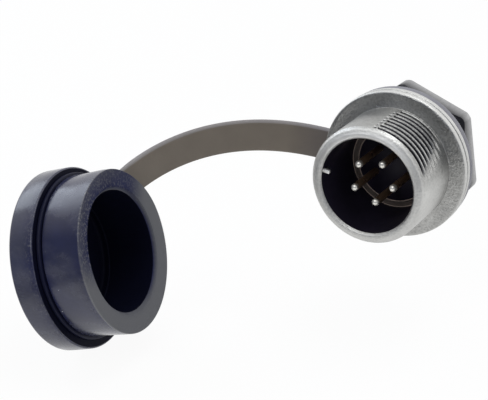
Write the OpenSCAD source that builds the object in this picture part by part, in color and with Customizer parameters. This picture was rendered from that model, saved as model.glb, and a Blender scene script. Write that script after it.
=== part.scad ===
// Front-mounted panel receptacle of the sealed circular connector family:
// a die-cast shell with an interrupted coupling thread and a round flange, five turned
// contact pins in a moulded insert, a hex nut behind the panel, and a rubber dust cap
// held by a moulded strap.
// The coupling axis runs along Y. The mouth faces -Y, the solder cups face +Y and +Z is up.
// The origin is the centre of the flange's rear seat, on the coupling axis.

/* [Front barrel] */
// Diameter over the crests of the front coupling thread
thread_d = 16; // [15.6:0.1:17]
// Length of the barrel from its mouth to the flange
barrel_len = 8.8; // [8:0.1:11]
// Distance from one thread groove to the next
thread_pitch = 1; // [0.8:0.05:1.2]
// Depth of a thread groove at its deepest
groove_depth = 0.5; // [0.2:0.02:0.56]
// Half the angle that a bank of grooves spans before it runs out
groove_half_angle = 37; // [25:1:55]
// Direction of the middle of the first bank of grooves, from +X towards +Z
groove_angle = 57; // [0:1:90]
// Diameter of the bore that holds the insert
bore_d = 13; // [12.8:0.1:13.2]
// From the mouth's rounding back to the middle of the first groove
thread_start = 0.45; // [0.35:0.05:0.8]
// Plain length kept between the last groove and the flange
thread_relief = 0.55; // [0.4:0.05:1.5]
// Rounding of the outer edge of the mouth
mouth_chamfer = 0.7; // [0.3:0.05:0.9]
// Chamfer of the inner edge of the mouth
mouth_inner_chamfer = 0.3; // [0.1:0.05:0.5]
// Width of the polarising key in the bore
key_w = 0.5; // [0.3:0.05:0.8]
// How far the key stands in from the wall of the bore
key_reach = 0.95; // [0.7:0.05:1.2]
// Length of the key along the bore
key_len = 1.6; // [1:0.1:3]
// Direction of the key from the axis, from +X towards +Z
key_angle = 172; // [150:1:200]

/* [Flange] */
// Diameter of the flange
flange_d = 20.4; // [19:0.1:24]
// Thickness of the flange
flange_t = 1.9; // [1.6:0.1:3]
// Width of the fine groove round the rim
rim_groove_w = 0.25; // [0.1:0.05:0.4]
// Depth of the fine groove round the rim
rim_groove_depth = 0.18; // [0.05:0.01:0.3]
// Chamfer of the flange's edges
flange_chamfer = 0.25; // [0.1:0.05:0.4]

/* [Rear barrel] */
// Diameter over the crests of the rear mounting thread
rear_d = 14; // [13.4:0.1:15]
// Length of the rear barrel behind the seat
rear_len = 9; // [8.8:0.1:12]
// Bore through the rear barrel
rear_bore_d = 10.4; // [10:0.1:10.8]
// Width of the keyway along the rear barrel
keyway_w = 1.6; // [1:0.1:2.5]
// Depth of the keyway
keyway_depth = 0.7; // [0.4:0.05:0.9]
// Chamfer at the end of the rear barrel
rear_chamfer = 0.5; // [0.3:0.05:0.7]

/* [Insert and contacts] */
// Depth from the mouth to the floor of the mating cavity
cavity_depth = 9.3; // [8.6:0.1:9.8]
// Wall of the sleeve that lines the bore
sleeve_wall = 0.4; // [0.3:0.05:0.6]
// How far the sleeve stops behind the mouth
sleeve_recess = 0.5; // [0.3:0.05:0.8]
// Diameter of the raised face that carries the contacts
face_d = 10.1; // [9:0.1:10.6]
// How far the contact face stands above the cavity floor
face_h = 0.5; // [0.3:0.05:1]
// Diameter of each contact pin
pin_d = 1; // [0.8:0.05:1.2]
// Diameter of a pin's shank, where it sits in the insert
shank_d = 1.3; // [1.25:0.05:1.4]
// Diameter of the circle that the pins stand on
pin_circle_d = 5.76; // [5.2:0.02:6.4]
// How far the pin tips stand back from the mouth
pin_recess = 1.8; // [1:0.1:3]
// Direction of the first pin, from +X towards +Z
pin_angle = 135.6; // [100:0.2:170]
// Diameter of the collar that locks a pin in the insert
collar_d = 1.8; // [1.5:0.05:2]
// Thickness of that collar
collar_t = 0.5; // [0.3:0.05:0.8]
// Outer diameter of a solder cup
cup_d = 1.6; // [1.3:0.05:1.8]
// Bore of a solder cup
cup_bore_d = 1.05; // [0.8:0.05:1.1]
// Depth of a solder cup
cup_depth = 2.2; // [1.5:0.1:2.8]
// Length of a solder cup behind the clamp disc
cup_len = 3.6; // [3:0.1:5]
// Length of the insert's rear body behind the seat
insert_rear = 4.4; // [3.6:0.1:4.6]
// From the cavity floor back to the insert's shoulder
shoulder_back = 0.9; // [0.7:0.1:1.2]
// Thickness of the disc that clamps the pins from behind
clamp_t = 1.7; // [1.2:0.1:1.9]
// Thickness of the sealing washer round the contact face
face_seal_t = 0.35; // [0.2:0.05:0.5]
// Width of the section of the seal behind the insert's shoulder
ring_seal_t = 0.5; // [0.3:0.05:0.6]
// Thickness of the snap ring at the rear
snap_t = 0.6; // [0.4:0.05:0.7]
// Depth of the snap ring's groove
snap_groove = 0.35; // [0.2:0.05:0.45]
// Width of the snap ring's section
snap_w = 0.9; // [0.6:0.05:1.1]
// Gap of the snap ring, in degrees
snap_gap = 50; // [30:1:90]

/* [Panel fixing] */
// Thickness of the gasket
gasket_t = 0.8; // [0.5:0.1:1.5]
// Outer diameter of the gasket
gasket_d = 18; // [16:0.1:20]
// Thickness of the toothed washer
washer_t = 0.6; // [0.4:0.1:1]
// Number of teeth on the washer, which reach out to the nut's flats
washer_teeth = 12; // [8:1:16]
// Width of a tooth
tooth_w = 1.2; // [0.8:0.1:1.8]
// Nut size across its flats
nut_af = 17; // [16.6:0.1:19]
// Thickness of the nut
nut_t = 3; // [2:0.1:4]
// Diameter of the nut's flat faces, inside its corner chamfers, and of the washer's ring
nut_face_d = 16.6; // [15.8:0.1:16.8]
// Chamfer at both ends of the nut's thread
nut_lead_in = 0.4; // [0.2:0.05:0.6]

/* [Strap] */
// Width of the strap
strap_w = 4.5; // [3.5:0.1:6]
// Thickness of the strap
strap_t = 1.2; // [0.8:0.1:1.5]
// Chamfer along the edges of the strap
strap_edge = 0.25; // [0.1:0.05:0.35]
// How much thinner the strap's run is than its ring, on each face
strap_relief = 0.05; // [0.03:0.01:0.1]
// How far the strap's run reaches into its ring
strap_root = 0.6; // [0.4:0.1:1.2]
// Outer diameter of the strap's ring behind the flange
strap_ring_d = 19.6; // [18:0.1:20.4]
// Outer diameter of the strap's loop round the cap's neck
loop_d = 22.2; // [21.6:0.1:22.6]
// Thickness of the loop, to which the strap thins down at its end
loop_t = 0.5; // [0.4:0.05:0.6]
// How far the strap runs out sideways before it bends
strap_reach = 22.6; // [18:0.2:26]
// How far it rises on the way to the bend
strap_rise = 2.2; // [0:0.1:4]
// Angle at which the strap leaves the loop, upwards from level
tail_angle = 22; // [0:1:35]
// How far the strap runs on from the loop before it starts to bend
tail_run = 2.2; // [1:0.1:4]
// How far the strap's end reaches into the loop
tail_root = 0.3; // [0.2:0.05:0.6]
// Where the loop lies, to the side of the coupling axis
cap_side = 32.4; // [30:0.1:36]
// Where the loop lies, in front of the seat
cap_front = 27.6; // [25:0.1:32]
// Where the loop lies, below the coupling axis
cap_below = 10.05; // [6:0.05:12]
// How far the cap's mouth looks up
cap_pitch = 17; // [5:1:25]
// How far the cap's mouth is turned back towards the flange
cap_yaw = 6; // [0:1:15]

/* [Cap] */
// Bore of the cap
cap_bore_d = 16.1; // [16:0.05:17]
// Depth of the cap's bore
cap_bore_depth = 8.2; // [7.5:0.1:8.8]
// Outer diameter of the cap's barrel
cap_barrel_d = 21.5; // [20.8:0.1:23]
// Length of the cap's barrel
cap_barrel_len = 5.5; // [4.5:0.1:6.5]
// Diameter of the neck that the strap's loop turns on
neck_d = 18.8; // [18:0.1:19.4]
// Diameter of the cap's flange
cap_flange_d = 24.4; // [23:0.1:27]
// Thickness of the cap's flange
cap_flange_t = 3.6; // [2.8:0.1:5]
// Small chamfer of the two edges beside the loop's groove
cap_edge = 0.12; // [0.05:0.01:0.2]
// Chamfer round the cap's bore
cap_lead_in = 0.45; // [0.2:0.05:0.8]
// Rounding of the cap's outer edges
cap_round = 0.4; // [0.2:0.05:0.6]

/* [Fits] */
// Running clearance of round pieces that turn or slide, on the radius
run_gap = 0.05; // [0.02:0.01:0.08]
// Assembly clearance of fixed pieces, on the radius
fit_gap = 0.02; // [0.01:0.01:0.04]
// Side clearance of the strap's loop in the cap's groove
loop_gap = 0.08; // [0.05:0.01:0.15]

/* [Hidden] */
$fn = 96;
eps = 0.01;

thread_r = thread_d / 2;
bore_r = bore_d / 2;
rear_r = rear_d / 2;
rear_bore_r = rear_bore_d / 2;
flange_r = flange_d / 2;
mouth_y = -(barrel_len + flange_t);
floor_y = mouth_y + cavity_depth;
shoulder_y = floor_y + shoulder_back;

// y stations of the stack behind the flange
gasket_y = strap_t;
washer_y = gasket_y + gasket_t;
nut_y = washer_y + washer_t;

pin_r = pin_d / 2;
pin_circle_r = pin_circle_d / 2;
clamp_y = insert_rear;
clamp_end = clamp_y + clamp_t;
snap_y = clamp_end + fit_gap;
insert_r = bore_r - fit_gap;
sleeve_r = insert_r - sleeve_wall;
body_r = rear_bore_r - fit_gap;

// the cap's own frame: x out of its mouth, z up, origin at the centre of the loop
groove_t = loop_t + 2 * loop_gap;
cap_mouth = cap_barrel_len + groove_t / 2;
loop_at = [-cap_side, -cap_front, -cap_below];

function cap_dir(v) =
    let (a = [v[0] * cos(cap_pitch) - v[2] * sin(cap_pitch), v[1],
              v[0] * sin(cap_pitch) + v[2] * cos(cap_pitch)])
    [a[0] * cos(cap_yaw) - a[1] * sin(cap_yaw), a[0] * sin(cap_yaw) + a[1] * cos(cap_yaw), a[2]];

function unit(v) = v / norm(v);

// pieces turned about the coupling axis are drawn along z, then laid along y
module along_y() {
    rotate([-90, 0, 0])
        children();
}

module polar_y(angle) {
    rotate([0, -angle, 0])
        children();
}

module ring(r_out, r_in, y0, y1) {
    along_y()
        translate([0, 0, y0])
            difference() {
                cylinder(r = r_out, h = y1 - y0);
                translate([0, 0, -1])
                    cylinder(r = r_in, h = y1 - y0 + 2);
            }
}

// the grooves of the cast thread: each cutter ring is set off centre, so that its V bites
// deepest in the middle of the bank and runs out to nothing at both ends
module groove_bank(angle) {
    offset_r = groove_depth / (1 - cos(groove_half_angle));
    tip_r = thread_r - groove_depth + offset_r;
    half = thread_pitch * 0.36;
    first = mouth_y + mouth_chamfer + thread_start;
    count = floor((-flange_t - thread_relief - first) / thread_pitch) + 1;
    polar_y(angle)
        translate([-offset_r, 0, 0])
            along_y()
                for (i = [0 : count - 1])
                    translate([0, 0, first + i * thread_pitch])
                        rotate_extrude()
                            polygon([[tip_r, -0.06], [tip_r + half, -half], [tip_r + 1, -half],
                                     [tip_r + 1, half], [tip_r + half, half], [tip_r, 0.06]]);
}

module shell_body() {
    c = mouth_chamfer;
    k = mouth_inner_chamfer;
    f = flange_chamfer;
    g = rim_groove_w / 2;
    rim = -flange_t / 2;
    along_y()
        rotate_extrude()
            polygon([
                [bore_r + k, mouth_y],
                [thread_r - c, mouth_y],
                [thread_r - c * 0.3, mouth_y + c * 0.3],
                [thread_r, mouth_y + c],
                [thread_r, -flange_t],
                [flange_r - f, -flange_t],
                [flange_r, -flange_t + f],
                [flange_r, rim - g],
                [flange_r - rim_groove_depth, rim],
                [flange_r, rim + g],
                [flange_r, -f],
                [flange_r - f, 0],
                [rear_r, 0],
                [rear_r, rear_len - rear_chamfer],
                [rear_r - rear_chamfer, rear_len],
                [rear_bore_r, rear_len],
                [rear_bore_r, snap_y + snap_t],
                [rear_bore_r + snap_groove, snap_y + snap_t],
                [rear_bore_r + snap_groove, snap_y],
                [rear_bore_r, snap_y],
                [rear_bore_r, shoulder_y + ring_seal_t],
                [bore_r, shoulder_y + ring_seal_t],
                [bore_r, mouth_y + k]
            ]);
}

module shell() {
    color([0.74, 0.74, 0.72]) {
        difference() {
            shell_body();
            groove_bank(groove_angle);
            groove_bank(groove_angle + 180);
            translate([-keyway_w / 2, gasket_y, rear_r - keyway_depth])
                cube([keyway_w, rear_len, keyway_depth + 1]);
        }
        polar_y(key_angle)
            translate([bore_r - key_reach, mouth_y + sleeve_recess, -key_w / 2])
                cube([key_reach + 0.1, key_len, key_w]);
    }
}

module pin_places() {
    for (i = [0 : 4])
        polar_y(pin_angle - 72 * i)
            translate([pin_circle_r, 0, 0])
                children();
}

module contact_insert() {
    color([0.07, 0.07, 0.09])
        difference() {
            along_y()
                rotate_extrude()
                    polygon([
                        [0, floor_y - face_h],
                        [face_d / 2 - 0.15, floor_y - face_h],
                        [face_d / 2, floor_y - face_h + 0.15],
                        [face_d / 2, floor_y],
                        [sleeve_r, floor_y],
                        [sleeve_r, mouth_y + sleeve_recess],
                        [insert_r, mouth_y + sleeve_recess],
                        [insert_r, shoulder_y],
                        [body_r, shoulder_y],
                        [body_r, insert_rear],
                        [0, insert_rear]
                    ]);
            pin_places()
                along_y()
                    translate([0, 0, floor_y - face_h - 1])
                        cylinder(d = shank_d + 2 * fit_gap, h = insert_rear - floor_y + face_h + 2);
            pin_places()
                along_y()
                    translate([0, 0, insert_rear - collar_t - fit_gap])
                        cylinder(d = collar_d + 2 * fit_gap, h = collar_t + 1);
            polar_y(key_angle)
                translate([sleeve_r - 0.5, mouth_y + sleeve_recess - 1, -key_w / 2 - run_gap])
                    cube([sleeve_wall + 1, key_len + 1 + run_gap, key_w + 2 * run_gap]);
        }
}

module face_seal() {
    color([0.36, 0.31, 0.27])
        ring(sleeve_r - fit_gap, face_d / 2 + fit_gap, floor_y - face_seal_t, floor_y);
}

module insert_seal() {
    color([0.12, 0.12, 0.12])
        ring(insert_r, body_r + fit_gap + eps, shoulder_y, shoulder_y + ring_seal_t);
}

module clamp_disc() {
    color([0.11, 0.11, 0.13])
        difference() {
            along_y()
                translate([0, 0, clamp_y])
                    cylinder(r = body_r, h = clamp_t);
            pin_places()
                along_y()
                    translate([0, 0, clamp_y - 1])
                        cylinder(d = cup_d + 2 * fit_gap, h = clamp_t + 2);
        }
}

module snap_ring() {
    r_out = rear_bore_r + snap_groove - fit_gap;
    far = 2 * r_out;
    spread = far * tan(snap_gap / 2);
    color([0.55, 0.55, 0.57])
        difference() {
            ring(r_out, r_out - snap_w, snap_y + fit_gap, snap_y + snap_t - fit_gap);
            polar_y(90)
                along_y()
                    translate([0, 0, snap_y - 1])
                        linear_extrude(snap_t + 2)
                            polygon([[0, 0], [far, -spread], [far, spread]]);
        }
}

module contact_pin(i) {
    tip_y = mouth_y + pin_recess;
    face_y = floor_y - face_h;
    cup_y = clamp_y;
    cup_end = clamp_end + cup_len;
    tip = pin_r * 0.8;
    color([0.86, 0.80, 0.62])
        polar_y(pin_angle - 72 * (i - 1))
            translate([pin_circle_r, 0, 0])
                difference() {
                    along_y()
                        rotate_extrude($fn = 48)
                            polygon(concat(
                                [[0, tip_y]],
                                [for (a = [15 : 15 : 90])
                                    [pin_r - tip + tip * sin(a), tip_y + tip * (1 - cos(a))]],
                                [[pin_r, face_y],
                                 [shank_d / 2, face_y],
                                 [shank_d / 2, insert_rear - collar_t],
                                 [collar_d / 2, insert_rear - collar_t],
                                 [collar_d / 2, insert_rear],
                                 [cup_d / 2, cup_y],
                                 [cup_d / 2, cup_end - 0.15],
                                 [cup_d / 2 - 0.15, cup_end],
                                 [0, cup_end]]));
                    along_y()
                        translate([0, 0, cup_end - cup_depth])
                            cylinder(d = cup_bore_d, h = cup_depth + 1, $fn = 48);
                    translate([cup_d * 0.1, cup_end - cup_depth * 0.8, -cup_d])
                        cube([cup_d, cup_depth + 1, 2 * cup_d]);
                }
}

module pin_1() {
    contact_pin(1);
}

module pin_2() {
    contact_pin(2);
}

module pin_3() {
    contact_pin(3);
}

module pin_4() {
    contact_pin(4);
}

module pin_5() {
    contact_pin(5);
}

// the strap follows one curve from its ring behind the flange to its loop round the cap,
// turning on the way from the panel's plane into the plane of the cap's groove
tail_dir = cap_dir([0, cos(tail_angle), sin(tail_angle)]);
tail_up = cap_dir([0, -sin(tail_angle), cos(tail_angle)]);
bend = [
    [strap_root - strap_ring_d / 2, strap_t / 2, 0],
    [strap_root - strap_ring_d / 2 - strap_reach, strap_t / 2, strap_rise],
    loop_at + tail_dir * (loop_d / 2 + tail_run),
    loop_at + tail_dir * (loop_d / 2 - tail_root)
];
cut_t = 0.9;
thin_from = 0.7;

function on_bend(t) =
    pow(1 - t, 3) * bend[0] + 3 * pow(1 - t, 2) * t * bend[1]
    + 3 * (1 - t) * t * t * bend[2] + t * t * t * bend[3];
function bend_dir(t) =
    unit(pow(1 - t, 2) * (bend[1] - bend[0]) + 2 * (1 - t) * t * (bend[2] - bend[1])
         + t * t * (bend[3] - bend[2]));
function across(t) =
    let (d = bend_dir(t), w = (1 - t) * [0, 0, 1] + t * tail_up)
    unit(w - (w * d) * d);

function strap_half(t) =
    let (full = strap_t / 2 - strap_relief, thin = min(1, max(0, (t - thin_from) / (cut_t - thin_from))))
    full + (loop_t / 2 - full) * thin;
function strap_section(t) =
    let (w = strap_w / 2, h = strap_half(t), e = min(strap_edge, h * 0.6))
    [[w, h - e], [w - e, h], [-w + e, h], [-w, h - e],
     [-w, -h + e], [-w + e, -h], [w - e, -h], [w, -h + e]];

module ribbon(t0, t1, steps) {
    m = 8;
    points = [for (i = [0 : steps])
        let (t = t0 + (t1 - t0) * i / steps, o = on_bend(t), a = across(t),
             b = cross(bend_dir(t), a))
        for (p = strap_section(t)) o + a * p[0] + b * p[1]];
    sides = [for (i = [0 : steps - 1], j = [0 : m - 1])
        let (k = (j + 1) % m)
        each [[i * m + j, (i + 1) * m + j, (i + 1) * m + k],
              [i * m + j, (i + 1) * m + k, i * m + k]]];
    ends = [[for (j = [0 : m - 1]) j], [for (j = [m - 1 : -1 : 0]) steps * m + j]];
    polyhedron(points = points, faces = concat(sides, ends));
}

module strap() {
    color([0.43, 0.40, 0.38]) {
        ring(strap_ring_d / 2, rear_r + run_gap, 0, strap_t);
        ribbon(0, cut_t, 22);
    }
}

module in_cap_frame() {
    translate(loop_at)
        rotate([0, -cap_pitch, cap_yaw])
            children();
}

module strap_loop() {
    color([0.43, 0.40, 0.38]) {
        in_cap_frame()
            rotate([0, 90, 0])
                translate([0, 0, -loop_t / 2])
                    difference() {
                        cylinder(d = loop_d, h = loop_t);
                        translate([0, 0, -1])
                            cylinder(r = neck_d / 2 + run_gap, h = loop_t + 2);
                    }
        ribbon(cut_t, 1, 4);
    }
}

module gasket() {
    color([0.13, 0.13, 0.13])
        ring(gasket_d / 2, rear_r + run_gap, gasket_y, gasket_y + gasket_t);
}

module lock_washer() {
    step = 360 / washer_teeth;
    ring_in = rear_r + run_gap;
    root = (nut_face_d / 2 - ring_in) / 2;
    tab = keyway_depth + root;
    color([0.66, 0.66, 0.66])
        along_y()
            translate([0, 0, washer_y])
                linear_extrude(washer_t) {
                    difference() {
                        union() {
                            circle(d = nut_face_d);
                            for (i = [0 : washer_teeth - 1])
                                rotate(step * i + step / 2)
                                    translate([0, -tooth_w / 2])
                                        square([nut_af / 2, tooth_w]);
                        }
                        circle(r = ring_in);
                    }
                    translate([-keyway_w / 2 + run_gap, -ring_in - root])
                        square([keyway_w - 2 * run_gap, tab]);
                }
}

module hex_nut() {
    r = rear_r + run_gap;
    k = nut_lead_in;
    corner = nut_af / 2 / cos(30);
    cone = (corner - nut_face_d / 2) * tan(30);
    color([0.76, 0.76, 0.74])
        along_y()
            translate([0, 0, nut_y])
                difference() {
                    intersection() {
                        cylinder(r = corner, h = nut_t, $fn = 6);
                        rotate_extrude()
                            polygon([[0, 0], [nut_face_d / 2, 0], [corner, cone],
                                     [corner, nut_t - cone], [nut_face_d / 2, nut_t], [0, nut_t]]);
                    }
                    rotate_extrude()
                        polygon([[0, -1], [r + k, -1], [r + k, 0], [r, k], [r, nut_t - k],
                                 [r + k, nut_t], [r + k, nut_t + 1], [0, nut_t + 1]]);
                }
}

module dust_cap() {
    b = cap_bore_d / 2;
    o = cap_barrel_d / 2;
    w = cap_flange_d / 2;
    c = cap_round;
    m = cap_mouth;
    back = -groove_t / 2 - cap_flange_t;
    color([0.08, 0.08, 0.11])
        in_cap_frame()
            rotate([0, 90, 0])
                rotate_extrude()
                    polygon([
                        [b + cap_lead_in, m],
                        [o - c, m],
                        [o - c * 0.3, m - c * 0.3],
                        [o, m - c],
                        [o, groove_t / 2 + cap_edge],
                        [o - cap_edge, groove_t / 2],
                        [neck_d / 2, groove_t / 2],
                        [neck_d / 2, -groove_t / 2],
                        [w - cap_edge, -groove_t / 2],
                        [w, -groove_t / 2 - cap_edge],
                        [w, back + c],
                        [w - c * 0.3, back + c * 0.3],
                        [w - c, back],
                        [0, back],
                        [0, m - cap_bore_depth],
                        [b, m - cap_bore_depth],
                        [b, m - cap_lead_in]
                    ]);
}

shell();
contact_insert();
face_seal();
insert_seal();
clamp_disc();
snap_ring();
pin_1();
pin_2();
pin_3();
pin_4();
pin_5();
strap();
strap_loop();
gasket();
lock_washer();
hex_nut();
dust_cap();
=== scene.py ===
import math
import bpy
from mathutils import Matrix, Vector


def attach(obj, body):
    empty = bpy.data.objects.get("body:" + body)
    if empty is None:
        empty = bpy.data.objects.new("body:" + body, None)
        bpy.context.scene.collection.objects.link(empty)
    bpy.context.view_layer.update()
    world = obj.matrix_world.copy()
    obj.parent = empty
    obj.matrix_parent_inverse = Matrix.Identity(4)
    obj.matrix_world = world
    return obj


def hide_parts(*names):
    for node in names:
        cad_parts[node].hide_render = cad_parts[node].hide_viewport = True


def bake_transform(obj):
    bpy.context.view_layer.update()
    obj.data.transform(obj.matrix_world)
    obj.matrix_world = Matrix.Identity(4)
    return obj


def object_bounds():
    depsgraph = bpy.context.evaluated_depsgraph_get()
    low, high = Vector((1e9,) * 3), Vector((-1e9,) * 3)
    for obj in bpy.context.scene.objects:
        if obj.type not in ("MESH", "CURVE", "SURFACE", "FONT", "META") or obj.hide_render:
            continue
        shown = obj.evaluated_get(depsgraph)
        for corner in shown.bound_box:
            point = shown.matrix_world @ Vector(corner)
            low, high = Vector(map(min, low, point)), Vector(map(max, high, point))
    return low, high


bl_info = {
    "name": "Panel Receptacle with Tethered Cap",
    "version": (1, 0, 0),
    "blender": (4, 5, 0),
    "location": "View3D > Sidebar > Receptacle",
    "description": "Dresses a sealed threaded panel receptacle, its hex nut and its tethered dust cap",
    "category": "Object",
}

import bpy
from mathutils import Matrix, Vector

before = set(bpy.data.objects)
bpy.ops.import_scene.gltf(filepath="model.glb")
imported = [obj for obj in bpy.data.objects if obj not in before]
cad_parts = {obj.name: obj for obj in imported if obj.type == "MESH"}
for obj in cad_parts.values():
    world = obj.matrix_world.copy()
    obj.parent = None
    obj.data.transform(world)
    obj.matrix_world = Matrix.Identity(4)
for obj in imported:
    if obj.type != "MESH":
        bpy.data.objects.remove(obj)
CAD_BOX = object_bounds()

MM = 0.001
PI = math.pi


# ---------------------------------------------------------------- sizes and colours

def size(label, words, value):
    """A length in metres, given in millimetres."""
    return bpy.props.FloatProperty(
        name=label, description=words, default=value * MM, unit="LENGTH", precision=5)


def turn(label, words, degrees):
    return bpy.props.FloatProperty(
        name=label, description=words, default=math.radians(degrees), subtype="ANGLE")


def tint(label, words, rgb):
    return bpy.props.FloatVectorProperty(
        name=label, description=words, default=rgb, size=3, subtype="COLOR", min=0.0, max=1.0)


class ShellSizes(bpy.types.PropertyGroup):
    """Sizes of the cast shell"""
    thread_r: size("Thread radius", "Radius over the crests of the front thread", 8.0)
    barrel: size("Barrel length", "Mouth to flange", 8.8)
    pitch: size("Thread pitch", "Distance from groove to groove", 1.0)
    groove: size("Groove depth", "Depth of a thread groove", 0.45)
    seam: turn("Seam direction", "Mould seam at the upper end of the bank of grooves", 84.0)
    bore_r: size("Bore radius", "Bore that holds the insert", 6.5)
    flange_r: size("Flange radius", "Outer radius of the flange", 10.2)
    flange_t: size("Flange thickness", "Thickness of the flange", 1.9)
    rear_r: size("Rear thread radius", "Crests of the mounting thread", 7.0)
    rear_len: size("Rear length", "Length of the rear barrel", 9.0)
    rear_bore_r: size("Rear bore radius", "Bore through the rear barrel", 5.2)
    keyway_w: size("Keyway width", "Width of the keyway in the rear thread", 1.6)
    keyway_d: size("Keyway depth", "Depth of the keyway", 0.7)


class ContactSizes(bpy.types.PropertyGroup):
    """Sizes of the pins and the insert"""
    cavity: size("Cavity depth", "Mouth to cavity floor", 9.3)
    face_r: size("Contact face radius", "Raised face that carries the pins", 5.05)
    face_h: size("Contact face height", "Above the cavity floor", 0.5)
    circle_r: size("Pin circle radius", "Circle that the pins stand on", 2.88)
    pin_r: size("Pin radius", "Radius of a contact pin", 0.5)
    recess: size("Pin recess", "Pin tips behind the mouth", 1.8)
    first: turn("First pin", "Direction of the first pin", 135.6)
    key: turn("Key direction", "Direction of the polarising key", 172.0)


class HardwareSizes(bpy.types.PropertyGroup):
    """Sizes of the nut and washers"""
    nut_af: size("Nut across flats", "Nut size", 17.0)
    nut_t: size("Nut thickness", "Thickness of the nut", 3.0)
    nut_y: size("Nut seat", "Front face of the nut behind the flange seat", 2.6)
    nut_turn: turn("Nut direction", "Direction of one corner of the nut", 38.5)


class StrapSizes(bpy.types.PropertyGroup):
    """Sizes of the strap"""
    width: size("Strap width", "Width of the strap", 4.5)
    thick: size("Strap thickness", "Thickness of the strap", 1.2)
    ring_r: size("Ring radius", "Outer radius of the ring behind the flange", 10.1)
    loop_r: size("Loop radius", "Outer radius of the loop round the cap", 11.1)
    loop_t: size("Loop thickness", "Thickness of the loop", 0.5)
    reach: size("Strap reach", "Sideways run before the bend", 22.6)
    rise: size("Strap rise", "Rise on the way to the bend", 2.2)
    tail: turn("Tail angle", "Angle at which the strap leaves the loop", 22.0)


class CapSizes(bpy.types.PropertyGroup):
    """Sizes and place of the dust cap"""
    side: size("Loop to the side", "Loop centre beside the axis", 32.4)
    front: size("Loop in front", "Loop centre in front of the seat", 27.6)
    below: size("Loop below", "Loop centre below the axis", 10.05)
    pitch: turn("Cap pitch", "How far the mouth looks up", 17.0)
    yaw: turn("Cap yaw", "How far the mouth turns back", 6.0)
    bore_r: size("Cap bore radius", "Bore of the cap", 8.05)
    depth: size("Cap bore depth", "Depth of the bore", 8.2)
    barrel_r: size("Cap barrel radius", "Outer radius of the barrel", 10.75)
    barrel: size("Cap barrel length", "Length of the barrel", 5.5)
    neck_r: size("Neck radius", "Neck that the loop turns on", 9.4)
    flange_r: size("Cap flange radius", "Outer radius of the flange", 12.2)
    flange_t: size("Cap flange thickness", "Thickness of the flange", 3.6)
    groove: size("Cap groove width", "Groove that holds the loop", 0.66)


class Finishes(bpy.types.PropertyGroup):
    """Colours of the materials"""
    nickel: tint("Nickel", "Satin plated castings", (0.47, 0.47, 0.458))
    nut: tint("Nut plate", "Satin plate of the nut", (0.40, 0.40, 0.405))
    steel: tint("Steel", "Washer and snap ring", (0.40, 0.40, 0.40))
    pin_tip: tint("Pin tip", "Bright plated tips", (0.86, 0.84, 0.78))
    pin_shaft: tint("Pin shaft", "Gold flashed shafts", (0.24, 0.15, 0.095))
    insert: tint("Insert", "Black moulded insert", (0.009, 0.0075, 0.014))
    seal: tint("Face seal", "Brown-grey seal in the cavity", (0.42, 0.33, 0.285))
    strap: tint("Strap", "Grey-brown strap", (0.156, 0.131, 0.104))
    # paler grey-purple tone of the ring behind the flange, and a painted sheen along the ribbon's upper edge
    strap_ring: tint("Strap ring", "Bleached ring behind the flange", (0.215, 0.212, 0.240))
    cap: tint("Cap", "Blue-black cap rubber", (0.012, 0.014, 0.042))
    cap_rubbed: tint("Rubbed cap", "Dull worn places of the cap", (0.14, 0.14, 0.15))
    # pale bloom on the cap's flange, and painted light on its underside and its mouth
    cap_bloom_and_light: tint("Cap bloom", "Pale bloom on the rubber", (0.135, 0.136, 0.146))
    rubber: tint("Gasket rubber", "Black gasket rubber", (0.02, 0.02, 0.02))


GROUPS = (
    ("rc_shell", ShellSizes), ("rc_contact", ContactSizes), ("rc_hardware", HardwareSizes),
    ("rc_strap", StrapSizes), ("rc_cap", CapSizes), ("rc_finish", Finishes),
)

# The studio, in metres and watts. In mirrors the floor's front edge and the room ahead are dim.
FLOOR_SIDE, FLOOR_GAP = 3.0, 0.0003
PAPER, PAPER_ROUGH, FLOOR_SHARE = (0.93, 0.93, 0.93), 0.9, 0.94
DIM_EDGE, DIM_EDGE_LEVEL = (-0.096, -0.080), 0.16
DIM_EDGE_STEP, DIM_EDGE_SHIFT = (-0.046, -0.037), 0.040
SKY, SKY_STRENGTH = (0.96, 0.98, 1.0), 0.52
WHITE, DIM_ROOM = (1.0, 1.0, 1.0), (0.20, 0.22, 0.27)
ROOM_AHEAD, ROOM_BELOW = (-0.62, -0.15), (0.42, 0.80)
LENS, SENSOR, NEAREST = 120.7, 36.0, 0.005
CAMERA_AT, CAMERA_AIM = (0.0797, -0.1895, 0.0806), (-0.0173, -0.0118, -0.0049)
LAMP_AIM = (-0.012, -0.01, -0.005)
LAMPS = (  # name, place, sides, watts, colour
    ("left_softbox", (-0.30, 0.06, 0.20), (0.20, 0.15), 0.27, (0.82, 0.90, 1.0)),
    ("right_softbox", (0.15, 0.36, 0.06), (0.30, 0.24), 0.12, WHITE),
    ("front_softbox", (-0.10, -0.42, 0.34), (0.24, 0.16), 0.45, WHITE),
    ("top_softbox", (0.06, 0.05, 0.36), (0.22, 0.18), 0.45, (0.96, 0.98, 1.0)),
)

# Tones that more than one finish shares. The first two are painted shade and painted highlight on the plated
# metal.
PAINTED_SHADE, PAINTED_HIGHLIGHT = (0.012, 0.012, 0.016), (0.95, 0.95, 0.93)
DUST, SMEAR, BORE_LIP_HIGHLIGHT = (0.55, 0.55, 0.58), (0.33, 0.33, 0.355), (0.10, 0.10, 0.11)
TARNISH = (0.22, 0.16, 0.09)

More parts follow.
